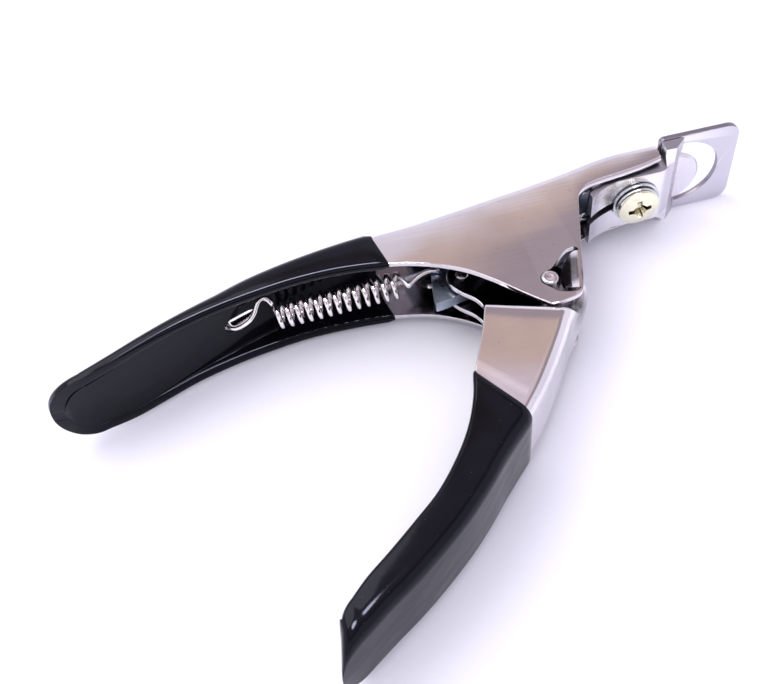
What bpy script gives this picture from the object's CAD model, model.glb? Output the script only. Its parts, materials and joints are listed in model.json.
"""Looks of an acrylic nail-tip clipper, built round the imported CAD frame.

Each CAD node gets one finer piece of the same shape: two bent-sheet handles with dipped
grips, a sliding blade and its bar, a ring plate, a screwed cover, pins, rivets and a spring.

Shapes are in mm with the fulcrum at the origin: +X to the cutting end, +Y out of the upper
handle's back and +Z along the fulcrum pin. The axes are those of the row frame, so the
clipper lies on its side with the fulcrum pin upright.
"""
import json
import math
from collections import namedtuple
import bpy
import bmesh
from mathutils import Matrix, Vector


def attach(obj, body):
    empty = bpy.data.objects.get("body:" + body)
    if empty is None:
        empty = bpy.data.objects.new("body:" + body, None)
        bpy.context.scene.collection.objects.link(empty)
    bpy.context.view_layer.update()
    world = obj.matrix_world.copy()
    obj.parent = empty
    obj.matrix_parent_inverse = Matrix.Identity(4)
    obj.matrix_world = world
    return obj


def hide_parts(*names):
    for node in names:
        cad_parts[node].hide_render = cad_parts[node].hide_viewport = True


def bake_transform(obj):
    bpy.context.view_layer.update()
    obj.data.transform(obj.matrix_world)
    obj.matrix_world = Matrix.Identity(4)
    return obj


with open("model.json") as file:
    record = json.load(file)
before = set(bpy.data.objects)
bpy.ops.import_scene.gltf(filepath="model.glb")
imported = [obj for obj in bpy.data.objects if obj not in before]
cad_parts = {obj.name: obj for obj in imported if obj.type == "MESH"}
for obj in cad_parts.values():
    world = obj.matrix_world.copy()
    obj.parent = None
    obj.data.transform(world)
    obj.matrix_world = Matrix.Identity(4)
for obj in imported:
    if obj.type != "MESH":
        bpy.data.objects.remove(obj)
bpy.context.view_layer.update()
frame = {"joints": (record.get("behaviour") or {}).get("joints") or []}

HINGE = [j for j in frame["joints"] if j["name"] == "lever_squeeze"][0]
ORIGIN = Vector(HINGE["pos_m"]) * 1000.0    # fulcrum in the row frame, mm
MM = 0.001

# ------------------------------------------------------------------ shared dimensions (mm)
SHEET = 1.0              # thickness of the handles' sheet
BEND = 2.2               # outer radius of the bend between web and cheek
BEND_STEPS = 12
EDGE_R = 0.2             # rounding of a blanked sheet edge
CHANNEL_HALF = 7.8       # half width of a handle channel
GRIP_HALF = 8.35         # half width under the upper grip
NECK_HALF = 2.85         # half width of the lower handle's narrow neck
DIP_GAP = 0.15           # between the sheet and the dipped sleeve
DIP_WALL = 0.42
FULCRUM_R = 1.5
DRIVE_R = 1.2
DRIVE_XY = (-13.3, 9.1)
PIN_CLEARANCE = 0.10     # round a pin in the lower handle
HOOK_SLOT_X = (-57.2, -50.2)     # slot in the upper handle's back for the rear spring hook
HOOK_SLOT_HALF = 2.0
RING_FACE_Y = 24.35      # -Y face of the ring plate
RING_RIVET = (27.1, 4.0)         # x and +/- z
RING_RIVET_HOLE_R = 1.05
BLADE_RIVET = (14.35, 3.6)       # x and +/- z
BLADE_RIVET_HOLE_R = 0.75
SCREW_X = 23.7
SCREW_R = 1.95
SCREW_HOLE_R = SCREW_R + 0.2
COVER_SEAT_Y = 19.9      # flat of the cover that the washers sit under
BAR_HALF = 1.2           # half thickness of the slide bar
FRONT_HOOK_XY = (-16.95, 12.2)   # where the spring passes through the slide bar
WIRE_R = 0.45

CUT = 'DIFFERENCE'
JOIN = 'UNION'


# ------------------------------------------------------------------ curves
def clamp(value):
    return max(0.0, min(1.0, value))


def spline(points, steps):
    """Catmull-Rom curve through points of any dimension."""
    out = []
    n = len(points)
    for i in range(n - 1):
        before = points[max(i - 1, 0)]
        after = points[min(i + 2, n - 1)]
        for k in range(steps):
            t = k / steps
            out.append(tuple(0.5 * (2 * b + (c - a) * t + (2 * a - 5 * b + 4 * c - d) * t * t
                                    + (3 * b - a - 3 * c + d) * t ** 3)
                             for a, b, c, d in zip(before, points[i], points[i + 1], after)))
    out.append(tuple(points[-1]))
    return out


def arc(cx, cy, radius, start, stop, steps):
    """Arc between two angles in degrees."""
    out = []
    for i in range(steps + 1):
        angle = math.radians(start + (stop - start) * i / steps)
        out.append((cx + radius * math.cos(angle), cy + radius * math.sin(angle)))
    return out


def circle(cx, cy, radius, steps=48):
    return arc(cx, cy, radius, 0, 360 - 360 / steps, steps - 1)


def slot_outline(x0, x1, half, steps=14):
    return arc(x1 - half, 0, half, -90, 90, steps) + arc(x0 + half, 0, half, 90, 270, steps)


def rectangle(low, high):
    return [low, (high[0], low[1]), high, (low[0], high[1])]


def round_profile(points, radius, steps=4):
    """Round the corners of an open outline; its two ends stay put."""
    out = [points[0]]
    for before, corner, after in zip(points, points[1:], points[2:]):
        p = Vector(corner)
        a = Vector(before) - p
        b = Vector(after) - p
        cut = min(radius, a.length * 0.45, b.length * 0.45)
        start = p + a.normalized() * cut
        stop = p + b.normalized() * cut
        for k in range(steps + 1):
            t = k / steps
            q = start * (1 - t) ** 2 + p * 2 * t * (1 - t) + stop * t * t
            out.append((q.x, q.y))
    out.append(points[-1])
    return out


# ------------------------------------------------------------------ solids
def add_ring(bm, points):
    return [bm.verts.new(p) for p in points]


def skin(bm, rings):
    for a, b in zip(rings, rings[1:]):
        n = len(a)
        for k in range(n):
            k2 = (k + 1) % n
            bm.faces.new((a[k], a[k2], b[k2], b[k]))


def swept(loops):
    """Long solid skinned through many loops, then capped."""
    bm = bmesh.new()
    rings = [add_ring(bm, loop) for loop in loops]
    skin(bm, rings)
    bm.faces.new(rings[0])
    bm.faces.new(rings[-1])
    return bm


def loft(*loops):
    """Short solid between two or three matching loops: caps first, then panel by panel."""
    bm = bmesh.new()
    rings = [add_ring(bm, loop) for loop in loops]
    bm.faces.new(rings[0])
    bm.faces.new(rings[-1])
    n = len(loops[0])
    for i in range(n):
        k = (i + 1) % n
        for a, b in zip(rings, rings[1:]):
            bm.faces.new((a[i], a[k], b[k], b[i]))
    return bm


def prism_z(outline, z0, z1):
    """Solid from an (x, y) outline."""
    return loft(*([(x, y, z) for x, y in outline] for z in (z0, z1)))


def at_y(outline, y):
    """Lay an (x, z) outline at a height y."""
    return [(x, y, z) for x, z in outline]


def prism_y(outline, y0, y1):
    """Solid from an (x, z) outline."""
    return loft(at_y(outline, y0), at_y(outline, y1))


def rivet_holes(rivet, radius, y0, y1, steps):
    """Cuts for a pair of rivets at +z and -z."""
    x, z = rivet
    return [(CUT, prism_y(circle(x, side * z, radius, steps), y0, y1)) for side in (1, -1)]


def lathe(profile, centre, axis, steps):
    """Turn (radius, height) points about an axis square to X. A profile that starts off the
    axis is closed on itself."""
    bm = bmesh.new()
    axis = Vector(axis)
    side = Vector((1, 0, 0))
    other = axis.cross(side)
    rings = []
    for radius, height in profile:
        middle = Vector(centre) + axis * height
        if radius < 1e-6:
            rings.append([bm.verts.new(middle)])
            continue
        ring = []
        for k in range(steps):
            angle = 2 * math.pi * k / steps
            ring.append(bm.verts.new(middle + (side * math.cos(angle)
                                               + other * math.sin(angle)) * radius))
        rings.append(ring)
    if profile[0][0] > 1e-6:
        rings.append(rings[0])
    for a, b in zip(rings, rings[1:]):
        for k in range(steps):
            k2 = (k + 1) % steps
            if len(a) == 1:
                bm.faces.new((a[0], b[k], b[k2]))
            elif len(b) == 1:
                bm.faces.new((a[k], b[0], a[k2]))
            else:
                bm.faces.new((a[k], b[k], b[k2], a[k2]))
    return bm


def round_wire(path, radius, sides, cap_steps=3):
    """Wire along a list of Vectors, with rounded ends."""
    n = len(path)
    tangents = [(path[min(i + 1, n - 1)] - path[max(i - 1, 0)]).normalized() for i in range(n)]
    first, last = tangents[0], tangents[-1]
    cap = []             # distance past the end, radius there
    for k in range(cap_steps):
        angle = math.pi / 2 * (k + 0.35) / cap_steps
        cap.append((radius * 0.8 * math.cos(angle), radius * math.sin(angle)))
    stops = [(path[0] - first * past, first, r) for past, r in cap]
    stops += [(p, tangent, radius) for p, tangent in zip(path, tangents)]
    stops += [(path[-1] + last * past, last, r) for past, r in reversed(cap)]
    loops = []
    up = first.orthogonal().normalized()
    for p, tangent, r in stops:
        up = (up - tangent * up.dot(tangent)).normalized()
        side = tangent.cross(up)
        loops.append([p + (up * math.cos(2 * math.pi * k / sides)
                           + side * math.sin(2 * math.pi * k / sides)) * r
                      for k in range(sides)])
    return swept(loops)


# ------------------------------------------------------------------ channel sections
# A cut through a U-shaped handle: web point, direction from web to rim, stretch of that
# direction against the square depth, square depth, half width.
Cut = namedtuple("Cut", "web lean skew depth half")


def station_cuts(stations):
    cuts = []
    n = len(stations)
    for i, (web_x, web_y, rim_x, rim_y, half) in enumerate(stations):
        web = Vector((web_x, web_y))
        before = stations[max(i - 1, 0)]
        after = stations[min(i + 1, n - 1)]
        tangent = Vector((after[0] - before[0], after[1] - before[1])).normalized()
        normal = Vector((-tangent.y, tangent.x))
        lean = Vector((rim_x, rim_y)) - web
        slant = lean.length
        lean.normalize()
        if normal.dot(lean) < 0:
            normal.negate()
        skew = 1.0 / max(0.5, normal.dot(lean))
        cuts.append(Cut(web, lean, skew, slant / skew, half))
    return cuts


def bend_line(floor, half, radius):
    """(depth, z) points round both bends of the U, from +z to -z."""
    line = []
    for j in range(BEND_STEPS + 1):
        a = math.pi / 2 * j / BEND_STEPS
        line.append((floor + radius * (1 - math.sin(a)), half - radius * (1 - math.cos(a))))
    return line + [(u, -z) for u, z in reversed(line)]


def soft_rim(rim, outer_z, inner_z, inner_floor):
    """Fully rounded rim of the +z cheek, from outside to inside."""
    radius_z = (outer_z - inner_z) / 2
    radius_u = max(min(radius_z, 0.8 * (rim - inner_floor) + 0.02, 0.9), 0.02)
    middle = (outer_z + inner_z) / 2
    return [(rim - radius_u + radius_u * math.sin(math.pi * j / 10),
             middle + radius_z * math.cos(math.pi * j / 10)) for j in range(11)]


def blanked_rim(rim, outer_z, inner_z, inner_floor, x):
    """Blanked rim of the +z cheek; its outer corner grows rounder toward the cutting end."""
    small = min(EDGE_R, (outer_z - inner_z) * 0.4, max(0.8 * (rim - inner_floor), 0.03))
    big = small + clamp((x - 9.0) / 3.0) * 0.5
    edge = []
    for j in range(7):
        a = math.pi / 2 * j / 6
        edge.append((rim - big + big * math.sin(a), outer_z - big + big * math.cos(a)))
    for j in range(4):
        a = math.pi / 2 * j / 3
        edge.append((rim - small + small * math.cos(a), inner_z + small - small * math.sin(a)))
    return edge


def section(cut, rim, outer, inner, soft, shift=None):
    """Closed loop round a channel wall. outer and inner are (floor, half width, bend radius);
    shift maps the fraction of the way down the cheek to an (x, y) offset."""
    if soft:
        edge = soft_rim(rim, outer[1], inner[1], inner[0])
    else:
        edge = blanked_rim(rim, outer[1], inner[1], inner[0], cut.web.x)
    loop = bend_line(*outer) + [(u, -z) for u, z in edge]
    loop += bend_line(*inner)[::-1] + edge[::-1]
    points = []
    for u, z in loop:
        x = cut.web.x + cut.lean.x * u * cut.skew
        y = cut.web.y + cut.lean.y * u * cut.skew
        if shift is not None:
            offset = shift(clamp(u / max(cut.depth, 0.01)))
            x += offset.x
            y += offset.y
        points.append(Vector((x, y, z)))
    return points


def wall_loop(cut, grow, soft=False, shift=None):
    """Section of the sheet, grown on all sides by a distance."""
    outer_r = min(BEND, 0.7 * cut.depth)
    inner_r = max(outer_r - SHEET, 0.25)
    return section(cut, cut.depth + grow,
                   (-grow, cut.half + grow, outer_r + grow),
                   (SHEET + grow, cut.half - SHEET - grow, max(inner_r - grow, 0.12)),
                   soft, shift)


def channel(stations):
    """Bent sheet along the stations."""
    return swept([wall_loop(cut, 0.0) for cut in station_cuts(spline(stations, 4))])


# first: station where the sleeve starts. Tail: reach past the sheet, droop, closing of the
# cheeks, turn of the section in degrees, power of the plan curve. Mouth line: bow toward the
# tail, and the fractions of the cheek between which it runs.
Grip = namedtuple("Grip", "first reach droop closing turn power bow bow_from bow_to")
GRIP_STEPS = 6           # spline steps between stations
TAIL_STEPS = 26
TAIL_END = 0.9996        # the last ring stops just short of a point
POCKET_SHORT = 2.4       # the hollow inside ends this far before the tail
MOUTH_WALL = 0.10        # sleeve thickness at its mouth
MOUTH_RAMP = 1.1         # distance over which it reaches full thickness
BOW_FADE = 5.0           # distance over which the bow of the mouth line dies out


def tail_loop(end, run, shape, step):
    """One section of the closing tail beyond the last cut."""
    grow = DIP_GAP + DIP_WALL
    s = math.sin(math.pi / 2 * step / TAIL_STEPS) if step < TAIL_STEPS else TAIL_END
    along = shape.reach * s
    droop = Vector((-run.y, run.x)) * (-shape.droop * 0.1 * along * along)
    outer_z = (end.half + grow) * (1 - s ** shape.power) ** (1.0 / shape.power) + 0.35 * s
    rim = end.depth + grow - shape.closing * along * 0.3
    pocket = shape.reach - POCKET_SHORT
    q = min(along / pocket, 0.985)
    inner_z = (end.half - SHEET - grow) * math.sqrt(1 - q * q)
    inner_z = max(min(inner_z, outer_z - 0.5 * min(outer_z, 2.0)), 0.12)
    floor = SHEET + grow
    if along > pocket - 0.9:
        # the floor climbs to the rim to fill the channel
        k = min((along - pocket + 0.9) / 1.2, 1.0)
        k = k * k * (3 - 2 * k)
        floor = floor + (rim - 0.06 - floor) * k
    outer_r = min(BEND + grow, 0.6 * outer_z, 0.7 * (rim + grow))
    inner_r = min(0.5, inner_z * 0.5, max(0.02, (rim - floor) * 0.5))
    a = math.radians(shape.turn) * s * s
    lean = Vector((end.lean.x * math.cos(a) - end.lean.y * math.sin(a),
                   end.lean.x * math.sin(a) + end.lean.y * math.cos(a)))
    cut = end._replace(web=end.web + run * along + droop, lean=lean)
    return section(cut, rim, (-grow, outer_z, outer_r), (floor, inner_z, inner_r), True)


def grip(stations, shape):
    """Dipped sleeve: thin lip at the mouth, rounded shut at the tail."""
    cuts = station_cuts(spline(stations, GRIP_STEPS)[shape.first * GRIP_STEPS:])
    tailward = (cuts[1].web - cuts[0].web).normalized()

    def mouth_shift(travelled):
        fade = max(0.0, 1 - travelled / BOW_FADE) ** 2

        def shift(fraction):
            q = clamp((fraction - shape.bow_from) / (shape.bow_to - shape.bow_from))
            return tailward * (shape.bow * math.sin(math.pi * q) * fade)
        return shift

    bm = bmesh.new()
    outer, inner = [], []
    travelled = 0.0
    previous = cuts[0].web
    for cut in cuts:
        travelled += (cut.web - previous).length
        previous = cut.web
        ramp = math.sin(math.pi / 2 * min(1.0, travelled / MOUTH_RAMP))
        grow = DIP_GAP + MOUTH_WALL + (DIP_WALL - MOUTH_WALL) * ramp
        shift = mouth_shift(travelled)
        outer.append(add_ring(bm, wall_loop(cut, grow, True, shift)))
        inner.append(add_ring(bm, wall_loop(cut, DIP_GAP, True, shift)))
    end = cuts[-1]
    run = (end.web - cuts[-2].web).normalized()
    past_end = end._replace(web=end.web + run * DIP_GAP)
    inner.append(add_ring(bm, wall_loop(past_end, DIP_GAP, True)))
    for step in range(1, TAIL_STEPS + 1):
        outer.append(add_ring(bm, tail_loop(end, run, shape, step)))
    skin(bm, outer)
    skin(bm, inner)
    n = len(outer[0])
    for k in range(n):
        k2 = (k + 1) % n
        bm.faces.new((outer[0][k], inner[0][k], inner[0][k2], outer[0][k2]))
    bm.faces.new(outer[-1])
    bm.faces.new(inner[-1])
    return bm


# ------------------------------------------------------------------ from solids to pieces
def to_object(bm, name):
    """bmesh in mm round the fulcrum to an object in the row frame, in metres."""
    bmesh.ops.remove_doubles(bm, verts=bm.verts, dist=0.0002)
    bmesh.ops.recalc_face_normals(bm, faces=bm.faces)
    for v in bm.verts:
        v.co = (v.co + ORIGIN) * MM
    mesh = bpy.data.meshes.new(name)
    bm.to_mesh(mesh)
    bm.free()
    ob = bpy.data.objects.new(name, mesh)
    bpy.context.scene.collection.objects.link(ob)
    return ob


def apply_modifiers(ob):
    depsgraph = bpy.context.evaluated_depsgraph_get()
    mesh = bpy.data.meshes.new_from_object(ob.evaluated_get(depsgraph))
    old = ob.data
    ob.modifiers.clear()
    ob.data = mesh
    bpy.data.meshes.remove(old)


def piece(bm, node, finish, body="frame", ops=(), bevel=0.0, segments=3, smooth=40.0,
          blend=None, flat=True):
    """Visible piece that stands for a CAD node.

    ops are (operation, solid) pairs; finish is (material, slot name); smooth is the angle
    above which edges stay sharp; flat weights the normals toward large faces.
    """
    ob = to_object(bm, node + "_fine")
    tools = []
    for operation, solid in ops:
        tool = to_object(solid, "tool")
        tools.append(tool)
        m = ob.modifiers.new("cut", 'BOOLEAN')
        m.operation = operation
        m.solver = 'EXACT'
        m.object = tool
    if bevel > 0:
        m = ob.modifiers.new("edge", 'BEVEL')
        m.width = bevel * MM
        m.segments = segments
        m.limit_method = 'ANGLE'
        m.angle_limit = math.radians(35.0)
        m.use_clamp_overlap = True
        m.harden_normals = False
    apply_modifiers(ob)
    ob.data.shade_smooth()
    ob.data.set_sharp_from_angle(angle=math.radians(smooth))
    if flat:
        m = ob.modifiers.new("flat", 'WEIGHTED_NORMAL')
        m.weight = 90
        m.keep_sharp = True
        apply_modifiers(ob)
    for tool in tools:
        mesh = tool.data
        bpy.data.objects.remove(tool)
        bpy.data.meshes.remove(mesh)
    material, slot = finish
    ob.data.materials.clear()
    ob.data.materials.append(material)
    if blend:
        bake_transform(ob)
    else:
        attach(ob, body)
    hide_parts(node)


# ------------------------------------------------------------------ shader helpers
class Nodes:
    """Short helpers for a node tree. Any value may be a number, a tuple or a socket."""

    def __init__(self, tree, coord, interpolation='LINEAR'):
        self.tree = tree
        self.interpolation = interpolation
        self.coord = self.add("ShaderNodeTexCoord").outputs[coord]

    def feed(self, socket, value):
        if isinstance(value, bpy.types.NodeSocket):
            self.tree.links.new(value, socket)
        elif socket.type == 'RGBA':
            socket.default_value = (*value, 1.0)
        else:
            socket.default_value = value

    def add(self, kind, inputs=None, **settings):
        node = self.tree.nodes.new(kind)
        for key, value in settings.items():
            setattr(node, key, value)
        for key, value in (inputs or {}).items():
            self.feed(node.inputs[key], value)
        return node

    def noise(self, scale, detail=3.0, rough=0.5, vector=None, distortion=0.0):
        return self.add("ShaderNodeTexNoise", {
            "Scale": scale, "Detail": detail, "Roughness": rough, "Distortion": distortion,
            "Vector": self.coord if vector is None else vector}).outputs["Fac"]

    def span(self, value, over, to=(0.0, 1.0)):
        """Map the range `over` onto the range `to`."""
        return self.add("ShaderNodeMapRange", {
            "From Min": over[0], "From Max": over[1], "To Min": to[0], "To Max": to[1],
            "Value": value}, interpolation_type=self.interpolation).outputs["Result"]

    def mix(self, fac, first, second):
        return self.add("ShaderNodeMix", {0: fac, 6: first, 7: second},
                        data_type='RGBA').outputs[2]

    def math(self, operation, *values):
        return self.add("ShaderNodeMath", dict(enumerate(values)),
                        operation=operation).outputs[0]

    def times(self, a, b):
        return self.math('MULTIPLY', a, b)


class Graph(Nodes):
    """Node tree of one new material."""

    def __init__(self, name, colour, rough, metal=1.0):
        self.mat = bpy.data.materials.new(name)
        self.mat.use_nodes = True
        self.mat.diffuse_color = (*colour, 1.0)
        super().__init__(self.mat.node_tree, "Object")
        self.bsdf = self.tree.nodes["Principled BSDF"]
        self.shade("Base Color", colour)
        self.shade("Roughness", rough)
        self.shade("Metallic", metal)

    def shade(self, key, value):
        self.feed(self.bsdf.inputs[key], value)

    def lines(self, scale, detail, rough):
        """Noise stretched into lines by a different scale on each axis."""
        mapping = self.add("ShaderNodeMapping", {"Scale": scale, "Vector": self.coord})
        return self.noise(scale=1.0, detail=detail, rough=rough,
                          vector=mapping.outputs["Vector"])

    def spots(self, scale, inner, outer):
        """Small specks: 1 at the middle of scattered cells, 0 elsewhere."""
        cells = self.add("ShaderNodeTexVoronoi", {"Scale": scale, "Vector": self.coord})
        return self.span(cells.outputs["Distance"], over=(inner, outer), to=(1.0, 0.0))

    def bump(self, height, distance, strength, normal=None):
        inputs = {"Distance": distance, "Strength": strength, "Height": height}
        if normal is not None:
            inputs["Normal"] = normal
        return self.add("ShaderNodeBump", inputs).outputs["Normal"]

    def openness(self, distance, over):
        """1 in the open, falling to 0 deep inside a recess."""
        occlusion = self.add("ShaderNodeAmbientOcclusion", {"Distance": distance}, samples=6)
        return self.span(occlusion.outputs["AO"], over)

    def facing(self, axis, over):
        """1 on faces square to an axis, 0 on faces turned away from it."""
        normal = self.add("ShaderNodeTexCoord").outputs["Normal"]
        split = self.add("ShaderNodeSeparateXYZ", {0: normal})
        return self.span(self.math('ABSOLUTE', split.outputs[axis], 0.0), over)

    def near(self, place, inner, outer):
        """1 within a ball about a place (all in mm, row frame), fading to 0."""
        gap = self.add("ShaderNodeVectorMath",
                       {0: self.coord, 1: tuple(c * MM for c in place)}, operation='DISTANCE')
        return self.span(gap.outputs["Value"], over=(inner * MM, outer * MM), to=(1.0, 0.0))

    def edges(self, over=(0.52, 0.62)):
        """1 on convex edges."""
        return self.span(self.add("ShaderNodeNewGeometry").outputs["Pointiness"], over)

    def out(self, colour, rough, normal):
        self.shade("Base Color", colour)
        self.shade("Roughness", rough)
        self.shade("Normal", normal)
        return self.mat


# ------------------------------------------------------------------ materials
def chrome(name, base, dull, rough, wave, line_scale, blanked=None, recess=None, film=None):
    """Plated sheet: die waviness, polishing lines, faint clouding and pin specks.

    rough is its range; blanked colours faces turned from Y, recess the deep hollows. film is
    a dark patch: (place, inner radius, outer radius, colour), in mm in the row frame.
    """
    g = Graph(name, base, rough[0])
    cloud = g.noise(scale=55.0, detail=4.0, rough=0.55)
    colour = g.mix(g.span(cloud, over=(0.38, 0.70)), base, dull)
    colour = g.mix(g.edges(), colour, (0.93, 0.92, 0.94))
    speck = g.spots(scale=420.0, inner=0.03, outer=0.09)
    colour = g.mix(g.times(speck, 0.35), colour, (0.36, 0.33, 0.34))
    lines = g.lines(line_scale, detail=2.0, rough=0.6)
    uneven = g.math('ADD', g.times(cloud, 0.6), g.times(lines, 0.4))
    roughness = g.span(uneven, over=(0.35, 0.70), to=rough)
    if blanked is not None:
        square = g.facing("Y", over=(0.62, 0.96))
        colour = g.mix(square, blanked, colour)
        roughness = g.math('ADD', roughness, g.span(square, over=(0.0, 1.0), to=(0.12, 0.0)))
    if recess is not None:
        colour = g.mix(g.openness(distance=0.012, over=(0.16, 0.58)), recess, colour)
    if film is not None:
        place, inner, outer, tone = film
        # the film keeps off the flat cheeks, which lie square to Z
        curved = g.span(g.facing("Z", over=(0.988, 0.9992)), over=(0.0, 1.0), to=(1.0, 0.0))
        cover = g.times(g.near(place, inner, outer), curved)
        patchy = g.noise(scale=330.0, detail=4.0, rough=0.6)
        cover = g.times(cover, g.span(patchy, over=(0.30, 0.55), to=(0.72, 1.0)))
        colour = g.mix(cover, colour, tone)
        roughness = g.math('ADD', roughness, g.times(cover, 0.10))
    waviness = g.noise(scale=42.0, detail=2.0, rough=0.45)
    normal = g.bump(waviness, distance=wave, strength=0.55)
    normal = g.bump(lines, distance=0.0000016, strength=0.6, normal=normal)
    return g.out(colour, roughness, normal)


def handle_chrome(name, film):
    return chrome(name, base=(0.80, 0.775, 0.80), dull=(0.70, 0.67, 0.695),
                  rough=(0.045, 0.115), wave=0.00022, line_scale=(30.0, 1500.0, 1500.0),
                  recess=(0.10, 0.095, 0.11), film=film)


def dipped(name):
    """Glossy dipped vinyl: soft sag ripples, fine orange peel, dust motes and haze."""
    g = Graph(name, colour=(0.010, 0.010, 0.013), rough=0.16, metal=0.0)
    haze = g.noise(scale=70.0, detail=5.0, rough=0.6)
    colour = g.mix(g.span(haze, over=(0.35, 0.75)),
                   (0.0018, 0.0018, 0.0030), (0.0055, 0.0052, 0.0080))
    dust = g.spots(scale=650.0, inner=0.02, outer=0.07)
    colour = g.mix(g.times(dust, 0.5), colour, (0.09, 0.09, 0.10))
    roughness = g.span(haze, over=(0.30, 0.75), to=(0.06, 0.15))
    sag = g.lines((60.0, 60.0, 130.0), detail=2.0, rough=0.5)
    normal = g.bump(sag, distance=0.00050, strength=0.45)
    peel = g.noise(scale=620.0, detail=3.0, rough=0.5)
    normal = g.bump(peel, distance=0.000012, strength=0.55, normal=normal)
    in_open = g.openness(distance=0.014, over=(0.40, 0.95))
    g.shade("Specular IOR Level", g.span(in_open, over=(0.0, 1.0), to=(0.05, 0.20)))
    g.shade("Specular Tint", (0.80, 0.84, 1.0))
    return g.out(colour, roughness, normal)


def ground(name):
    """Ground steel: fine grinding lines along Z, brighter on its edges."""
    g = Graph(name, colour=(0.74, 0.72, 0.76), rough=0.22)
    lines = g.lines((2600.0, 2600.0, 60.0), detail=4.0, rough=0.7)
    cloud = g.noise(scale=180.0, detail=3.0)
    colour = g.mix(g.span(cloud, over=(0.3, 0.7)), (0.78, 0.76, 0.81), (0.66, 0.64, 0.69))
    colour = g.mix(g.edges(), colour, (0.92, 0.91, 0.94))
    roughness = g.span(lines, over=(0.3, 0.7), to=(0.14, 0.30))
    return g.out(colour, roughness, g.bump(lines, distance=0.0000035, strength=0.6))


def plated(name, base, tint, dull, rough, scale, deep=None, reach=None):
    """Passivated zinc: colour drifts between two tints, with dull stains and a fine grain.
    deep is the colour of recesses, reach the distance that counts as one."""
    g = Graph(name, base, rough[0])
    drift = g.noise(scale=scale, detail=3.0, rough=0.55, distortion=0.6)
    colour = g.mix(g.span(drift, over=(0.36, 0.64)), base, tint)
    stain = g.noise(scale=scale * 3.1, detail=4.0, rough=0.65)
    colour = g.mix(g.span(stain, over=(0.58, 0.78), to=(0.0, 0.6)), colour, dull)
    worn = tuple(min(1.0, c * 1.12 + 0.04) for c in base)
    colour = g.mix(g.edges(over=(0.53, 0.66)), colour, worn)
    if deep is not None:
        colour = g.mix(g.openness(distance=reach, over=(0.30, 0.80)), deep, colour)
    roughness = g.span(stain, over=(0.3, 0.75), to=rough)
    grain = g.noise(scale=scale * 9.0, detail=3.0, rough=0.6)
    return g.out(colour, roughness, g.bump(grain, distance=0.0000075, strength=0.55))


def drawn_wire(name):
    """Drawn spring wire: bright, with draw marks and a little brown heat tint."""
    g = Graph(name, colour=(0.78, 0.76, 0.76), rough=0.14)
    marks = g.lines((3200.0, 700.0, 700.0), detail=3.0, rough=0.6)
    heat = g.noise(scale=190.0, detail=3.0)
    colour = g.mix(g.span(heat, over=(0.42, 0.72), to=(0.0, 0.75)),
                   (0.95, 0.925, 0.92), (0.74, 0.66, 0.61))
    roughness = g.span(marks, over=(0.3, 0.7), to=(0.09, 0.22))
    return g.out(colour, roughness, g.bump(marks, distance=0.000003, strength=0.6))


def paper(name):
    g = Graph(name, colour=(0.90, 0.895, 0.915), rough=0.62, metal=0.0)
    tone = g.noise(scale=9.0, detail=3.0)
    colour = g.mix(g.span(tone, over=(0.35, 0.65)), (0.905, 0.90, 0.92), (0.885, 0.88, 0.905))
    g.shade("Base Color", colour)
    g.shade("Roughness", g.span(tone, over=(0.3, 0.7), to=(0.55, 0.70)))
    return g.mat


# finishes: (material, slot name)
CHROME_UPPER = (handle_chrome(
    "chrome_upper_handle", film=((26.2, 15.9, 16.9), 2.3, 3.6, (0.15, 0.14, 0.145))),
    "chrome_plate")
CHROME_LOWER = (handle_chrome(
    "chrome_lower_handle", film=((26.4, 11.2, 12.6), 0.6, 5.4, (0.05, 0.046, 0.052))),
    "chrome_plate")
CHROME_FRONT = (chrome(
    "chrome_front_plate", base=(0.61, 0.595, 0.66), dull=(0.54, 0.525, 0.585),
    rough=(0.13, 0.24), wave=0.00004, line_scale=(1400.0, 1400.0, 40.0),
    blanked=(0.27, 0.25, 0.29)), "chrome_plate")
CHROME_COVER = (chrome(
    "chrome_cover", base=(0.87, 0.855, 0.905), dull=(0.79, 0.775, 0.83),
    rough=(0.17, 0.27), wave=0.00006, line_scale=(40.0, 1400.0, 1400.0),
    blanked=(0.36, 0.34, 0.38)), "chrome_plate")
VINYL = (dipped("black_dip"), "black_dip")
STEEL = (ground("ground_steel"), "ground_steel")
YELLOW = (plated(
    "yellow_zinc", base=(0.90, 0.86, 0.66), tint=(0.80, 0.82, 0.66), dull=(0.52, 0.44, 0.27),
    rough=(0.13, 0.30), scale=330.0, deep=(0.20, 0.13, 0.03), reach=0.0016), "yellow_zinc")
BRIGHT = (plated(
    "bright_zinc", base=(0.76, 0.77, 0.77), tint=(0.66, 0.70, 0.69), dull=(0.42, 0.42, 0.40),
    rough=(0.14, 0.30), scale=420.0, deep=(0.12, 0.13, 0.13), reach=0.0012), "bright_zinc")
PIN = (plated(
    "pin_zinc", base=(0.58, 0.54, 0.55), tint=(0.50, 0.47, 0.48), dull=(0.28, 0.25, 0.25),
    rough=(0.12, 0.28), scale=420.0, deep=(0.08, 0.075, 0.08), reach=0.0010), "bright_zinc")
BLUE = (plated(
    "blue_zinc", base=(0.33, 0.40, 0.49), tint=(0.42, 0.47, 0.56), dull=(0.20, 0.22, 0.28),
    rough=(0.24, 0.42), scale=160.0), "blue_zinc")
WIRE = (drawn_wire("spring_wire"), "spring_wire")

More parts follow.
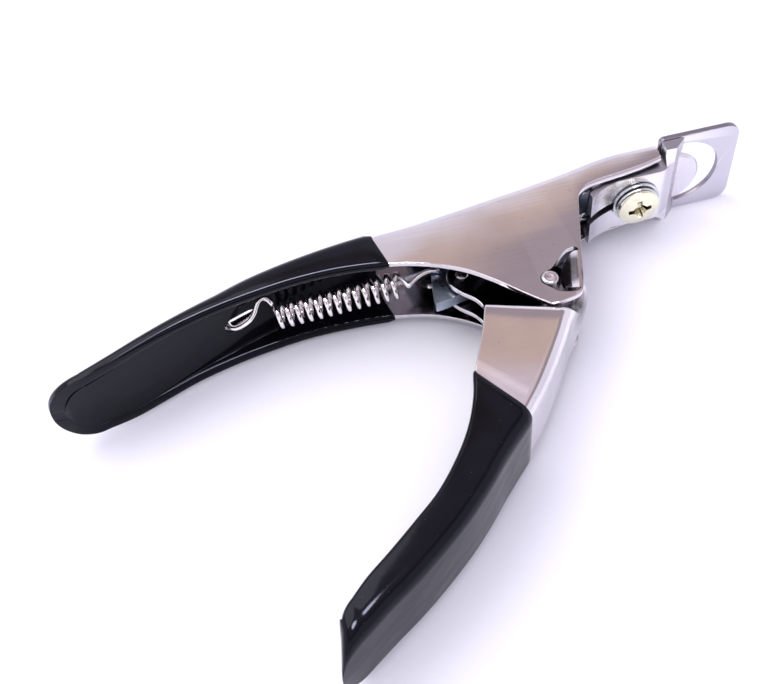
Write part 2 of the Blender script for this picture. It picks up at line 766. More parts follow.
# ------------------------------------------------------------------ upper handle and grip
# stations from the cutting end to the tail: web x, web y, rim x, rim y, half width
UPPER_STATIONS = [
    (29.0, 26.6, 28.7, 21.8, CHANNEL_HALF), (25.0, 26.6, 25.0, 20.9, CHANNEL_HALF),
    (20.4, 26.5, 20.4, 20.2, CHANNEL_HALF), (16.6, 26.0, 16.4, 19.7, CHANNEL_HALF),
    (14.0, 25.5, 13.4, 19.0, CHANNEL_HALF), (12.2, 25.1, 11.5, 17.5, CHANNEL_HALF),
    (10.4, 24.7, 10.5, 15.4, CHANNEL_HALF), (8.2, 24.3, 9.0, 10.5, CHANNEL_HALF),
    (6.0, 23.9, 7.5, 5.4, CHANNEL_HALF), (4.0, 23.6, 6.0, 0.2, CHANNEL_HALF),
    (2.5, 23.3, 5.0, -3.2, CHANNEL_HALF), (1.2, 23.1, 3.9, -4.6, CHANNEL_HALF),
    (-0.3, 22.9, 1.7, -5.2, CHANNEL_HALF), (-1.8, 22.7, -0.7, -5.5, CHANNEL_HALF),
    (-3.2, 22.5, -2.0, -4.8, CHANNEL_HALF), (-6.4, 22.0, -5.3, -1.6, CHANNEL_HALF),
    (-10.5, 21.4, -9.4, 2.7, CHANNEL_HALF), (-14.8, 20.8, -13.7, 6.3, CHANNEL_HALF),
    (-20.2, 20.1, -19.2, 9.2, CHANNEL_HALF), (-27.8, 19.3, -26.0, 11.0, CHANNEL_HALF + 0.25),
    (-36.0, 18.1, -34.8, 11.9, GRIP_HALF), (-44.0, 16.7, -42.8, 11.8, GRIP_HALF),
    (-51.2, 14.9, -50.2, 10.9, GRIP_HALF), (-58.0, 12.4, -57.1, 9.6, GRIP_HALF),
    (-64.4, 9.8, -63.7, 7.8, GRIP_HALF), (-70.4, 7.1, -69.8, 5.6, GRIP_HALF),
    (-76.2, 4.5, -75.7, 3.3, CHANNEL_HALF + 0.3), (-81.4, 2.7, -81.1, 1.7, CHANNEL_HALF - 0.4),
]
UPPER_GRIP = Grip(first=19, reach=7.4, droop=0.20, closing=0.25, turn=0.0, power=2.0,
                  bow=0.35, bow_from=0.15, bow_to=0.95)
GRIP_SLOT_INSET = 0.35   # the sleeve overlaps the rim of the hook slot by this much
NUT_HOLE_R = 2.75

# cheek window, (x, y): past the round pin seat along the -Y side, then back along the +Y side
WINDOW_SEAT_R = FULCRUM_R + 0.15
WINDOW_LOW = [(-0.95, -1.35), (-0.2, -2.3), (0.4, -3.0), (1.4, -3.5), (2.7, -3.85),
              (3.9, -3.9), (4.45, -3.4)]
WINDOW_FRONT = (5.4, 0.0)
WINDOW_HIGH = [(6.75, 4.9), (6.6, 5.45), (6.0, 5.7), (4.8, 5.5), (3.6, 4.6), (2.5, 3.5),
               (1.6, 2.6), (0.8, 2.0)]
TONGUE_ROOT = (5.6, 0.75)
TONGUE_LEAN = math.radians(74.5)     # of its root line from +X
TONGUE_REACH = 4.0
TONGUE_ROOTED = 0.45     # overlap into the cheek
TONGUE_HALF = 4.15       # half length of its root line
TONGUE_FOLD = math.radians(50.0)
TONGUE_INSET = 0.06      # inside each face of the sheet


def window_outline():
    """Cheek opening: a round seat for the fulcrum pin, widening into a D on its +X side."""
    return (arc(0, 0, WINDOW_SEAT_R, 100, 235, 24) + spline(WINDOW_LOW, 5)[1:]
            + [WINDOW_FRONT] + spline(WINDOW_HIGH, 5))


def window_tongue(side):
    """Half-oval tongue folded inward from the +X rim of a window. side is +1 or -1 in Z."""
    steps, across, substeps = 24, 26, 8
    fold = []            # distance along the sheet, distance out from the root, drop inward
    flat = drop = last = 0.0
    for i in range(steps + 1):
        s = -TONGUE_ROOTED + (TONGUE_REACH + TONGUE_ROOTED) * i / steps
        if s > 0:
            for j in range(substeps):
                q = last + (s - last) * (j + 0.5) / substeps
                angle = TONGUE_FOLD * min(1.0, q / TONGUE_REACH * 2.2)
                flat += (s - last) / substeps * math.cos(angle)
                drop += (s - last) / substeps * math.sin(angle)
            last = s
        fold.append((s, s if s < 0 else flat, drop))

    root = Vector(TONGUE_ROOT)
    along = Vector((math.cos(TONGUE_LEAN), math.sin(TONGUE_LEAN)))
    outward = Vector((-math.sin(TONGUE_LEAN), math.cos(TONGUE_LEAN)))
    bm = bmesh.new()
    layers = []
    for face_z in (CHANNEL_HALF - TONGUE_INSET, CHANNEL_HALF - SHEET + TONGUE_INSET):
        grid = []
        for s, out, drop in fold:
            share = max(s, 0) / (TONGUE_REACH * 1.02)
            half = TONGUE_HALF * math.sqrt(max(1 - share ** 2, 0.02))
            row = []
            for k in range(across + 1):
                p = root + outward * out + along * (half * (-1 + 2 * k / across))
                row.append(bm.verts.new((p.x, p.y, side * (face_z - drop))))
            grid.append(row)
        layers.append(grid)
    top, under = layers
    for i in range(steps):
        for k in range(across):
            for g in layers:
                bm.faces.new((g[i][k], g[i][k + 1], g[i + 1][k + 1], g[i + 1][k]))
    for i in range(steps):
        for k in (0, across):
            bm.faces.new((top[i][k], top[i + 1][k], under[i + 1][k], under[i][k]))
    for k in range(across):
        for i in (0, steps):
            bm.faces.new((top[i][k], top[i][k + 1], under[i][k + 1], under[i][k]))
    return bm


def hook_slot(inset):
    outline = slot_outline(HOOK_SLOT_X[0] + inset, HOOK_SLOT_X[1] - inset,
                           HOOK_SLOT_HALF - inset)
    return CUT, prism_y(outline, 8.0, 19.0)


def build_upper_handle():
    ops = [(CUT, prism_z(window_outline(), -9.5, 9.5)),
           (JOIN, window_tongue(1)),
           (JOIN, window_tongue(-1)),
           hook_slot(0.0),
           (CUT, prism_y(circle(SCREW_X, 0, NUT_HOLE_R), 25.0, 28.0))]
    ops += rivet_holes(RING_RIVET, RING_RIVET_HOLE_R, 25.0, 28.0, 32)
    piece(channel(UPPER_STATIONS), "upper_handle", CHROME_UPPER, ops=ops, smooth=32.0)
    piece(grip(UPPER_STATIONS, UPPER_GRIP), "upper_grip", VINYL,
          ops=[hook_slot(GRIP_SLOT_INSET)], smooth=50.0, flat=False)


build_upper_handle()

# ------------------------------------------------------------------ lower handle and grip
# stations from the neck to the tail: web x, web y, rim x, rim y, half width
LOWER_STATIONS = [
    (6.6, 5.3, -12.4, 12.0, NECK_HALF), (7.2, 4.4, -14.9, 11.3, NECK_HALF),
    (7.5, 3.3, -16.1, 9.5, NECK_HALF), (7.6, 1.9, -15.9, 7.4, NECK_HALF),
    (7.4, 0.4, -14.6, 5.4, NECK_HALF), (6.8, -1.3, -12.7, 3.4, NECK_HALF),
    (5.9, -2.9, -11.8, 1.7, NECK_HALF), (4.9, -4.3, -11.7, 0.3, NECK_HALF + 0.3),
    (3.8, -5.5, -11.8, -0.8, 4.6), (2.8, -6.5, -12.0, -1.6, 6.6),
    (2.0, -7.4, -12.3, -2.4, 7.65), (1.1, -8.6, -12.7, -3.4, CHANNEL_HALF),
    (-0.9, -11.8, -13.9, -6.7, CHANNEL_HALF), (-3.9, -16.2, -15.4, -10.1, CHANNEL_HALF),
    (-7.4, -20.9, -16.6, -12.8, CHANNEL_HALF), (-11.2, -25.2, -17.6, -15.2, CHANNEL_HALF),
    (-14.3, -28.3, -19.0, -20.3, CHANNEL_HALF),
    (-17.6, -31.6, -21.3, -25.6, CHANNEL_HALF + 0.2),
    (-20.8, -35.1, -24.4, -30.4, CHANNEL_HALF + 0.2),
    (-25.1, -39.3, -28.6, -35.4, CHANNEL_HALF + 0.2),
    (-30.0, -43.4, -33.4, -39.5, CHANNEL_HALF + 0.2),
    (-35.1, -47.2, -38.0, -43.2, CHANNEL_HALF + 0.2),
    (-40.0, -50.4, -42.2, -46.4, CHANNEL_HALF + 0.2),
    (-44.0, -53.2, -45.2, -49.1, CHANNEL_HALF),
]
LOWER_GRIP = Grip(first=15, reach=6.2, droop=0.0, closing=0.30, turn=-30.0, power=2.8,
                  bow=1.1, bow_from=0.45, bow_to=1.0)


def build_lower_handle():
    ops = [(CUT, prism_z(circle(0, 0, FULCRUM_R + PIN_CLEARANCE), -5, 5)),
           (CUT, prism_z(circle(*DRIVE_XY, DRIVE_R + PIN_CLEARANCE, 40), -5, 5))]
    piece(channel(LOWER_STATIONS), "lower_handle", CHROME_LOWER, "lever", ops, smooth=32.0)
    piece(grip(LOWER_STATIONS, LOWER_GRIP), "lower_grip", VINYL, "lever",
          smooth=50.0, flat=False)


build_lower_handle()

# ------------------------------------------------------------------ pins and rivets
FULCRUM_HALF = 8.25
DRIVE_HALF = 3.35
# (radius, y) profiles of the rivets
RING_RIVET_PROFILE = [(0, 24.4), (0.9, 24.4), (0.9, 26.72), (1.6, 26.72), (1.6, 27.0),
                      (1.15, 27.4), (0, 27.6)]
BLADE_RIVET_PROFILE = [(0, 21.35), (0.8, 21.45), (1.15, 21.8), (1.15, 21.95), (0.6, 21.95),
                       (0.6, 24.05), (0, 24.05)]


def build_pin(name, xy, radius, half, body, steps):
    """Plain shank with a slightly dished end each side."""
    end = [(0, half - 0.16), (radius * 0.30, half - 0.13), (radius * 0.55, half),
           (radius * 0.80, half - 0.02), (radius * 0.97, half - 0.20), (radius, half - 0.34)]
    outline = [(r, -h) for r, h in end] + end[::-1]
    piece(lathe(outline, (*xy, 0), (0, 0, 1), steps), name, PIN, body, smooth=38.0)


def build_rivets(name, place, profile, steps, finish, body):
    x, z = place
    for tag, side in (("near", 1), ("far", -1)):
        piece(lathe(profile, (x, 0, side * z), (0, 1, 0), steps), name + tag, finish, body)


build_pin("fulcrum_pin", (0, 0), FULCRUM_R, FULCRUM_HALF, "frame", 48)
build_pin("drive_pin", DRIVE_XY, DRIVE_R, DRIVE_HALF, "lever", 40)
build_rivets("ring_rivet_", RING_RIVET, round_profile(RING_RIVET_PROFILE, 0.2, 4), 40,
             CHROME_FRONT, "frame")
build_rivets("blade_rivet_", BLADE_RIVET, round_profile(BLADE_RIVET_PROFILE, 0.12, 3), 32,
             BRIGHT, "slider")

# ------------------------------------------------------------------ ring plate
RING_T = 0.95            # thickness of the tang
RING_PAD = 0.15          # extra thickness of the wide part, on its +Y side
RING_X = (29.35, 45.2)
RING_HALF = 9.6
RING_CORNER = 2.7
RING_CHAMFER = 0.6       # at the wide part's -X corners
TANG_X = 19.7
TANG_HALF = 5.85
TANG_CHAMFER = 1.5
HOLE_X = 34.4            # D-shaped hole, flat on its -X side
HOLE_R = 7.5
HOLE_FLAT_X = 33.2


def build_ring_plate():
    """Wide plate with a D hole, and a thinner, narrower tang toward -X."""
    x0, x1 = RING_X
    corner_x = x1 - RING_CORNER
    corner_z = RING_HALF - RING_CORNER
    wide = [(x0, -RING_HALF + RING_CHAMFER), (x0 + RING_CHAMFER, -RING_HALF)]
    wide += arc(corner_x, -corner_z, RING_CORNER, -90, 0, 14)
    wide += arc(corner_x, corner_z, RING_CORNER, 0, 90, 14)
    wide += [(x0 + RING_CHAMFER, RING_HALF), (x0, RING_HALF - RING_CHAMFER)]
    tang = [(x0, TANG_HALF), (TANG_X + TANG_CHAMFER, TANG_HALF),
            (TANG_X, TANG_HALF - TANG_CHAMFER)]
    tang += [(x, -z) for x, z in reversed(tang)]
    tang_y = RING_FACE_Y + RING_T
    bm = bmesh.new()
    wide_face = add_ring(bm, at_y(wide, RING_FACE_Y))
    wide_back = add_ring(bm, at_y(wide, tang_y + RING_PAD))
    tang_face = add_ring(bm, at_y(tang, RING_FACE_Y))
    tang_back = add_ring(bm, at_y(tang, tang_y))
    bm.faces.new(wide_face + tang_face)
    bm.faces.new(wide_back)
    bm.faces.new(tang_back)
    for face, back in ((wide_face, wide_back), (tang_face, tang_back)):
        for i in range(len(face) - 1):
            bm.faces.new((face[i], face[i + 1], back[i + 1], back[i]))
    # step from the wide part down to the tang
    bm.faces.new((wide_face[-1], tang_face[0], tang_back[0], tang_back[-1], tang_face[-1],
                  wide_face[0], wide_back[0], wide_back[-1]))
    sweep = math.degrees(math.acos((HOLE_FLAT_X - HOLE_X) / HOLE_R))
    ops = [(CUT, prism_y(arc(HOLE_X, 0, HOLE_R, -sweep, sweep, 72), 23.0, 27.0)),
           (CUT, prism_y(circle(SCREW_X, 0, SCREW_HOLE_R), 23.0, 27.0))]
    ops += rivet_holes(RING_RIVET, RING_RIVET_HOLE_R, 23.0, 27.0, 32)
    piece(bm, "ring_plate", CHROME_FRONT, ops=ops, bevel=0.13)


build_ring_plate()

# ------------------------------------------------------------------ blade
BLADE_Y = (23.35, 24.10)
BLADE_X = (13.1, 37.8)
BLADE_HALF = 6.1
BLADE_CHAMFER = 0.8      # at its -X corners
BLADE_SLOT_X = (15.5, 26.2)
BLADE_SLOT_HALF = SCREW_R + 0.35
HONE_IN = 0.55           # how far the -Y face is drawn in round the nose
HONE_LAND = 0.18         # height left square below the +Y face
NOSE_STEPS = 56


def build_blade():
    """Strip with a round nose toward +X, ground back on its -Y side."""
    x0, x1 = BLADE_X
    low_y, high_y = BLADE_Y
    half = BLADE_HALF
    honed_r = half - HONE_IN
    nose = arc(x1 - half, 0, half, -90, 90, NOSE_STEPS)
    honed = arc(x1 - half, 0, honed_r, -90, 90, NOSE_STEPS)
    # the ends of the honed arc go out to the blade's straight sides
    honed = [(x, z * (half / honed_r) if abs(abs(z) - honed_r) < 1e-6 else z)
             for x, z in honed]
    rear = [(x0 + BLADE_CHAMFER, half), (x0, half - BLADE_CHAMFER),
            (x0, -half + BLADE_CHAMFER), (x0 + BLADE_CHAMFER, -half)]
    solid = loft(at_y(nose + rear, high_y), at_y(nose + rear, high_y - HONE_LAND),
                 at_y(honed + rear, low_y))
    ops = [(CUT, prism_y(slot_outline(*BLADE_SLOT_X, BLADE_SLOT_HALF, 20), 22.0, 25.0))]
    ops += rivet_holes(BLADE_RIVET, BLADE_RIVET_HOLE_R, 22.0, 25.0, 24)
    piece(solid, "blade", STEEL, "slider", ops, bevel=0.03, segments=1, smooth=25.0)


build_blade()

# ------------------------------------------------------------------ slide bar
# side outline, (x, y): +Y edge from the tail forward, then the -Y edge back
BAR_TOP_CURVE = [(-17.8, 14.6), (-16.4, 17.2), (-13.4, 19.0), (-8.0, 20.0), (-2.0, 20.9),
                 (4.0, 21.8)]
BAR_TOP_END = [(8.0, 22.55), (11.4, 23.05), (15.1, 23.05)]
BAR_UNDER_END = [(15.1, 22.05), (11.9, 22.05)]
BAR_UNDER_CURVE = [(9.4, 20.6), (3.0, 18.4), (-4.0, 16.6), (-8.6, 15.0), (-10.3, 12.2),
                   (-10.6, 8.6), (-12.2, 6.7), (-15.0, 6.0), (-18.2, 5.4), (-19.1, 5.9),
                   (-18.5, 11.0)]
BAR_FOOT = rectangle((11.4, -5.2), (15.1, 5.2))     # (x, z) plate that carries the blade
BAR_FOOT_Y = (22.1, 23.0)
DRIVE_SLOT_R = DRIVE_R + 0.47
DRIVE_SLOT_TOP = 14.75   # y of the slot's upper centre


def build_slide_bar():
    outline = spline(BAR_TOP_CURVE, 8) + BAR_TOP_END
    outline += BAR_UNDER_END + spline(BAR_UNDER_CURVE, 6)
    pin_x, pin_y = DRIVE_XY
    slot = arc(pin_x, DRIVE_SLOT_TOP, DRIVE_SLOT_R, 0, 180, 20)
    slot += arc(pin_x, pin_y - 0.05, DRIVE_SLOT_R, 180, 360, 20)
    ops = [(JOIN, prism_y(BAR_FOOT, *BAR_FOOT_Y)),
           (CUT, prism_z(slot, -3, 3)),
           (CUT, prism_z(circle(*FRONT_HOOK_XY, WIRE_R + 0.22, 32), -3, 3))]
    ops += rivet_holes(BLADE_RIVET, BLADE_RIVET_HOLE_R, 21.0, 25.0, 24)
    piece(prism_z(outline, -BAR_HALF, BAR_HALF), "slide_bar", BLUE, "slider", ops, bevel=0.14)


build_slide_bar()

# ------------------------------------------------------------------ cover plate
COVER_HALF = 6.2
COVER_SHEET = 1.3
COVER_TOP_Y = 23.08
SLIT_HALF = 0.95         # slit from the screw hole to the -X end
# side outline, (x, y)
COVER_REAR_RISE = [(13.9, 17.2), (15.6, 18.3), (17.6, 19.2), (19.4, COVER_SEAT_Y - 0.1)]
COVER_SEAT_START = (20.2, COVER_SEAT_Y)
COVER_FRONT_RISE = [(28.0, COVER_SEAT_Y), (29.0, 20.15), (30.2, 20.9), (31.3, 21.6)]
COVER_TOP_FRONT = (32.9, COVER_TOP_Y)
COVER_TOP_FALL = [(22.0, COVER_TOP_Y), (20.2, 21.6), (18.6, 20.95), (16.6, 20.3),
                  (15.0, 19.4), (13.7, 18.45)]
# (x, z) outline of the wide ears at the +X end
EARS = [(29.5, -8.2), (30.9, -9.6), (34.2, -9.6), (34.2, 9.6), (29.5, 9.6)]
EARS_Y = (21.75, RING_FACE_Y - 0.3)
# (x, y) sections of the shoulder under an ear, and the z of each
SHOULDER_INNER = [(29.5, 20.47), (30.2, 20.93), (31.34, 21.62), (31.34, 23.0), (29.5, 23.0)]
SHOULDER_OUTER = [(29.5, 21.76), (30.2, 21.76), (31.34, 21.77), (31.34, 23.0), (29.5, 23.0)]
SHOULDER_Z = (6.0, 8.1)
# (x, y) sections of the slanted cut across the +X end and of the recess for the blade
FRONT_SLANT = [(31.35, 21.6), (31.2, 21.0), (35.5, 21.0), (35.5, 25.0), (33.95, 25.0),
               (33.95, 24.1)]
BLADE_RECESS = rectangle((28.0, 23.1), (36.0, 25.0))
BLADE_RECESS_HALF = 6.4
# (x, z) outline of the hollow above the seat
POCKET = [(19.5, -5.55), (21.9, -5.55), (21.9, -4.9), (27.2, -4.9), (27.2, 4.9), (21.9, 4.9),
          (21.9, 5.55), (19.5, 5.55)]


def build_cover_plate():
    outline = spline(COVER_REAR_RISE, 8) + [COVER_SEAT_START] + spline(COVER_FRONT_RISE, 6)
    outline += [COVER_TOP_FRONT] + spline(COVER_TOP_FALL, 6)
    sweep = math.degrees(math.acos(SLIT_HALF / SCREW_HOLE_R)) + 90.0
    keyhole = [(10.0, -SLIT_HALF)] + arc(SCREW_X, 0, SCREW_HOLE_R, -sweep, sweep, 56)
    keyhole += [(10.0, SLIT_HALF)]
    ops = [(JOIN, prism_y(EARS, *EARS_Y))]
    for side in (1, -1):
        loops = [[(x, y, side * z) for x, y in shoulder]
                 for shoulder, z in zip((SHOULDER_INNER, SHOULDER_OUTER), SHOULDER_Z)]
        ops.append((JOIN, loft(*loops)))
    ops += [(CUT, prism_z(FRONT_SLANT, -11, 11)),
            (CUT, prism_z(BLADE_RECESS, -BLADE_RECESS_HALF, BLADE_RECESS_HALF)),
            (CUT, prism_y(keyhole, 15.0, 26.0)),
            (CUT, prism_y(POCKET, COVER_SEAT_Y + COVER_SHEET, 26.0))]
    piece(prism_z(outline, -COVER_HALF, COVER_HALF), "cover_plate", CHROME_COVER, ops=ops,
          bevel=0.16)


build_cover_plate()

# ------------------------------------------------------------------ screw, washers, nut
HEAD_R = 4.0
HEAD_H = 1.3
HEAD_SIDE = 0.65         # straight side of the head, under its dome
HEAD_Y = COVER_SEAT_Y - 1.55     # +Y face of the head
SCREW_END_Y = 28.0
RECESS_TIP_Y = HEAD_Y - HEAD_H - 1.0     # cross recess tools start clear of the head
RECESS_TURN = 7.0        # degrees
# cross recess bar: y, half length, half width at each end
RECESS_ENDS = [(RECESS_TIP_Y, 3.0, 0.58), (HEAD_Y + 0.25, 1.4, 0.40)]
# (radius, y) of the recess core
RECESS_CORE = [(0, RECESS_TIP_Y), (1.75, RECESS_TIP_Y), (0.85, HEAD_Y + 0.1),
               (0, HEAD_Y + 0.6)]
FLAT_WASHER_R = 4.55
FLAT_WASHER_Y = (COVER_SEAT_Y - 0.65, COVER_SEAT_Y - 0.1)
SPRING_WASHER_R = 4.05
SPRING_WASHER_Y = (COVER_SEAT_Y - 1.42, COVER_SEAT_Y - 0.83)
SPRING_WASHER_EDGE = 0.09
SPRING_WASHER_RISE = 0.09        # from one end to the other
SPLIT_AT = 200.0         # degrees
SPLIT_HALF = 9.0         # degrees
NUT_BORE_R = SCREW_R + 0.15
# (radius, y) of the flanged nut, from the middle of its bore
NUT_PROFILE = [(NUT_BORE_R, 26.7), (NUT_BORE_R, 25.6), (2.6, 25.6), (2.6, 26.72), (3.5, 26.72),
               (3.5, 27.5), (3.2, 27.8), (NUT_BORE_R, 27.8), (NUT_BORE_R, 26.7)]


def on_screw(profile, steps):
    return lathe(profile, (SCREW_X, 0, 0), (0, 1, 0), steps)


def recess_bar(turn):
    cos, sin = math.cos(math.radians(turn)), math.sin(math.radians(turn))
    loops = []
    for y, length, width in RECESS_ENDS:
        corners = rectangle((-length, -width), (length, width))
        loops.append([(SCREW_X + a * cos - b * sin, y, a * sin + b * cos)
                      for a, b in corners])
    return loft(*loops)


def build_screw():
    """Domed cross-head screw, its head toward -Y."""
    crown = HEAD_H - HEAD_SIDE
    side_y = HEAD_Y - HEAD_SIDE
    dome_r = (HEAD_R * HEAD_R + crown ** 2) / (2 * crown)
    profile = [(0, SCREW_END_Y), (SCREW_R - 0.3, SCREW_END_Y), (SCREW_R, SCREW_END_Y - 0.3),
               (SCREW_R, HEAD_Y)]
    profile += round_profile([(SCREW_R, HEAD_Y), (HEAD_R, HEAD_Y), (HEAD_R, side_y),
                              (HEAD_R * 0.93, side_y - crown * 0.13)], 0.2, 5)[1:-1]
    for i in range(13):
        a = math.asin(HEAD_R * 0.925 / dome_r) * (1 - i / 12)
        profile.append((dome_r * math.sin(a), side_y - (crown - dome_r + dome_r * math.cos(a))))
    ops = [(CUT, recess_bar(RECESS_TURN)), (CUT, recess_bar(RECESS_TURN + 90.0)),
           (CUT, on_screw(RECESS_CORE, 28))]
    piece(on_screw(profile, 96), "cover_screw", YELLOW, ops=ops, smooth=38.0)


def build_flat_washer():
    low, high = FLAT_WASHER_Y
    middle = (SCREW_HOLE_R, COVER_SEAT_Y - 0.375)
    profile = round_profile([middle, (SCREW_HOLE_R, low), (FLAT_WASHER_R, low),
                             (FLAT_WASHER_R, high), (SCREW_HOLE_R, high), middle], 0.13, 4)
    piece(on_screw(profile[:-1], 96), "flat_washer", BRIGHT)


def build_spring_washer():
    """Split washer with chamfered edges, rising slightly from one end to the other."""
    steps = 120
    low_r, high_r = SCREW_HOLE_R, SPRING_WASHER_R
    low_y, high_y = SPRING_WASHER_Y
    e = SPRING_WASHER_EDGE
    profile = [(low_r, low_y + e), (low_r + e, low_y), (high_r - e, low_y), (high_r, low_y + e),
               (high_r, high_y - e), (high_r - e, high_y), (low_r + e, high_y),
               (low_r, high_y - e)]
    loops = []
    for i in range(steps + 1):
        a = math.radians(SPLIT_AT + SPLIT_HALF + (360 - 2 * SPLIT_HALF) * i / steps)
        lift = SPRING_WASHER_RISE * (i / steps - 0.5)
        loops.append([(SCREW_X + r * math.cos(a), y + lift, r * math.sin(a))
                      for r, y in profile])
    piece(swept(loops), "spring_washer", BRIGHT, smooth=50.0)


build_screw()
build_flat_washer()
build_spring_washer()
piece(on_screw(round_profile(NUT_PROFILE, 0.16, 4)[:-1], 72), "screw_nut", CHROME_FRONT)

# ------------------------------------------------------------------ return spring
SPRING_R = 2.15          # coil radius at the wire's centre
SPRING_TURNS = 13
TURN_STEPS = 40
SPRING_START = math.radians(55.0)
SPRING_ENDS = ((-47.4, 11.6), (-24.2, 12.45))       # (x, y) of the coil axis
# (x, y, z) of the hook at the -X end, up to the first coil
REAR_HOOK = [
    (-51.4, 16.75, -0.2), (-53.4, 16.0, -0.3), (-55.1, 14.95, -0.3), (-55.95, 13.6, -0.2),
    (-56.05, 12.2, -0.1), (-55.6, 11.2, 0.0), (-54.6, 10.75, 0.2), (-53.2, 10.75, 0.75),
    (-52.0, 10.9, 1.5), (-51.0, 11.5, 2.4), (-50.4, 12.0, 3.4), (-49.8, 12.5, 4.15),
    (-48.9, 12.95, 4.1), (-48.1, 13.05, 3.1),
]
HOOK_X, HOOK_Y = FRONT_HOOK_XY
HOOK_CLEAR = BAR_HALF + WIRE_R + 0.3     # z of the wire beside the slide bar
# (x, y, z) from the last coil through the hole in the slide bar
FRONT_HOOK = [
    (-22.9, 11.2, 0.2), (-21.4, 12.1, 0.9), (-19.6, 12.3, HOOK_CLEAR),
    (HOOK_X - 0.75, HOOK_Y, HOOK_CLEAR + 0.15), (HOOK_X, HOOK_Y, HOOK_CLEAR - 0.45),
    (HOOK_X, HOOK_Y, 0.0), (HOOK_X, HOOK_Y, 0.45 - HOOK_CLEAR),
    (HOOK_X - 0.75, HOOK_Y, -HOOK_CLEAR - 0.15), (HOOK_X - 1.9, HOOK_Y - 0.1, -HOOK_CLEAR),
]
EASED_REAR = 150         # path points evened out at each end
EASED_FRONT = 110
STRETCH_X = (-49.0, -21.0)       # between these the spring stretches from frame to slider


def build_return_spring():
    (rear_x, rear_y), (front_x, front_y) = SPRING_ENDS
    axis = Vector((front_x - rear_x, front_y - rear_y, 0))
    length = axis.length
    axis.normalize()
    up = Vector((-axis.y, axis.x, 0))
    side = Vector((0, 0, 1))
    rear = Vector((rear_x, rear_y, 0))
    path = [Vector(p) for p in spline(REAR_HOOK, 10)]
    steps = SPRING_TURNS * TURN_STEPS
    for i in range(steps + 1):
        q = i / steps
        angle = SPRING_START + 2 * math.pi * SPRING_TURNS * q
        path.append(rear + axis * (length * q)
                    + (up * math.cos(angle) + side * math.sin(angle)) * SPRING_R)
    path += [Vector(p) for p in spline(FRONT_HOOK, 9)]
    # even out the joins between the hooks and the coils
    for _ in range(3):
        eased = list(path)
        for i in range(1, len(path) - 1):
            if i <= EASED_REAR or i >= len(path) - EASED_FRONT:
                eased[i] = (path[i - 1] + path[i] * 2 + path[i + 1]) / 4
        path = eased
    start, stop = ((ORIGIN + Vector((x, y, 0))) * MM
                   for x, y in zip(STRETCH_X, (rear_y, front_y)))
    piece(round_wire(path, WIRE_R, 14), "return_spring", WIRE, smooth=80.0,
          blend=("frame", "slider", start, stop), flat=False)


build_return_spring()

# ------------------------------------------------------------------ floor (m)
FLOOR_HALF = 2.5
FLOOR_Z = -0.00005       # just under the clipper


def build_floor():
    bm = bmesh.new()
    corners = rectangle((-FLOOR_HALF, -FLOOR_HALF), (FLOOR_HALF, FLOOR_HALF))
    bm.faces.new(add_ring(bm, [(x, y, 0) for x, y in corners]))
    mesh = bpy.data.meshes.new("floor")
    bm.to_mesh(mesh)
    bm.free()
    floor = bpy.data.objects.new("floor", mesh)
    bpy.context.scene.collection.objects.link(floor)
    floor.location = (0, 0, FLOOR_Z)
    floor.data.materials.append(paper("floor_paper"))


build_floor()

# ------------------------------------------------------------------ world
WARM = (0.66, 0.50, 0.44)
COOL = (0.39, 0.32, 0.36)
WHITE = (0.95, 0.91, 1.04)
ZENITH = (0.80, 0.70, 0.84)
LAMP = (32.0, 31.0, 34.0)
SOFT_LIGHT = (0.81, 0.785, 0.945)


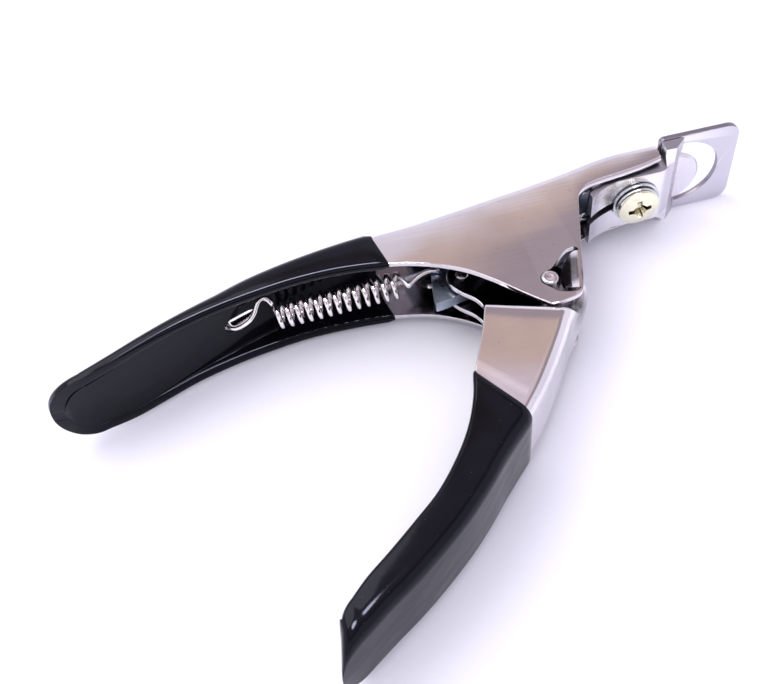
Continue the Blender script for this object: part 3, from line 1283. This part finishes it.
def build_world():
    """Glossy rays see a painted studio; all other rays see one soft light.

    The studio is white low down and toward +Y, with a warm ceiling that has a cool patch,
    a paler zenith and a small lamp.
    """
    world = bpy.data.worlds.new("studio")
    bpy.context.scene.world = world
    world.use_nodes = True
    world.node_tree.nodes.clear()
    w = Nodes(world.node_tree, "Generated", interpolation='SMOOTHSTEP')
    drift = w.noise(scale=3.2, detail=2.0)
    up = w.add("ShaderNodeSeparateXYZ", {0: w.coord}).outputs["Z"]
    height = w.math('ADD', up, w.math('MULTIPLY_ADD', drift, 0.10, -0.05))

    def toward(direction, ripple):
        """Cosine of the angle to a direction, with a slow ripple."""
        dot = w.add("ShaderNodeVectorMath", {0: w.coord, 1: direction},
                    operation='DOT_PRODUCT').outputs["Value"]
        return w.math('MULTIPLY_ADD', drift, ripple, w.math('ADD', dot, -0.5 * ripple))

    beside = w.span(toward((-0.3792, 0.7514, -0.54), ripple=0.02),
                    over=(-0.016, 0.012), to=(1.0, 0.0))
    below = w.span(up, over=(0.775, 0.797), to=(1.0, 0.0))
    ceiling = w.mix(w.times(beside, below), WARM, COOL)
    ceiling = w.mix(w.span(up, over=(0.808, 0.826), to=(0.0, 0.8)), ceiling, ZENITH)
    far_side = w.span(toward((-0.1849, 0.7526, -0.632), ripple=0.012), over=(0.0, 0.012))
    ceiling = w.mix(far_side, ceiling, WHITE)
    studio = w.mix(w.span(height, over=(0.58, 0.68)), WHITE, ceiling)
    lamp = w.span(toward((0.093, -0.12, 0.988), ripple=0.006), over=(0.976, 0.990))
    studio = w.mix(lamp, studio, LAMP)
    seen = w.add("ShaderNodeBackground", {"Color": studio, "Strength": 1.0})
    soft = w.add("ShaderNodeBackground", {"Color": SOFT_LIGHT, "Strength": 1.24})
    glossy = w.add("ShaderNodeLightPath").outputs["Is Glossy Ray"]
    mixer = w.add("ShaderNodeMixShader", {0: glossy, 1: soft.outputs[0], 2: seen.outputs[0]})
    w.add("ShaderNodeOutputWorld", {"Surface": mixer.outputs[0]})


build_world()


# ------------------------------------------------------------------ lights
def area_light(name, place, size, power, colour, glossy):
    """Disk light aimed at the world origin; place and size in metres, power in watts."""
    light = bpy.data.lights.new(name, 'AREA')
    light.shape = 'DISK'
    light.size = size
    light.energy = power
    light.color = colour
    ob = bpy.data.objects.new(name, light)
    bpy.context.scene.collection.objects.link(ob)
    ob.location = place
    ob.rotation_euler = (-Vector(place)).to_track_quat('-Z', 'Y').to_euler()
    ob.visible_glossy = glossy


area_light("key", place=(-0.26, 0.22, 0.50), size=0.55, power=1.9, colour=(1.0, 0.985, 0.96),
           glossy=True)
area_light("fill", place=(-0.35, -0.42, 0.40), size=0.45, power=0.9, colour=(0.97, 0.97, 1.0),
           glossy=False)

bpy.context.scene.view_settings.view_transform = 'Standard'
bpy.context.scene.view_settings.look = 'None'

# ------------------------------------------------------------------ camera
CAMERA_PLACE = (-44.585, -115.733, 154.960)         # from the fulcrum, mm
CAMERA_RIGHT = (0.97172, -0.22389, -0.07510)
CAMERA_DOWN = (-0.22354, -0.76953, -0.59821)
CAMERA_LENS = 51.71875
SENSOR_WIDTH = 36.0


def build_camera():
    data = bpy.data.cameras.new("camera")
    camera = bpy.data.objects.new("camera", data)
    bpy.context.scene.collection.objects.link(camera)
    right = Vector(CAMERA_RIGHT).normalized()
    down = Vector(CAMERA_DOWN)
    down = (down - right * down.dot(right)).normalized()
    ahead = right.cross(down)
    matrix = Matrix((right, -down, -ahead)).transposed().to_4x4()
    matrix.translation = (ORIGIN + Vector(CAMERA_PLACE)) * MM
    camera.matrix_world = matrix
    data.sensor_width = SENSOR_WIDTH
    data.lens = CAMERA_LENS
    data.clip_start = 0.01
    bpy.context.scene.camera = camera


build_camera()

bpy.context.view_layer.update()
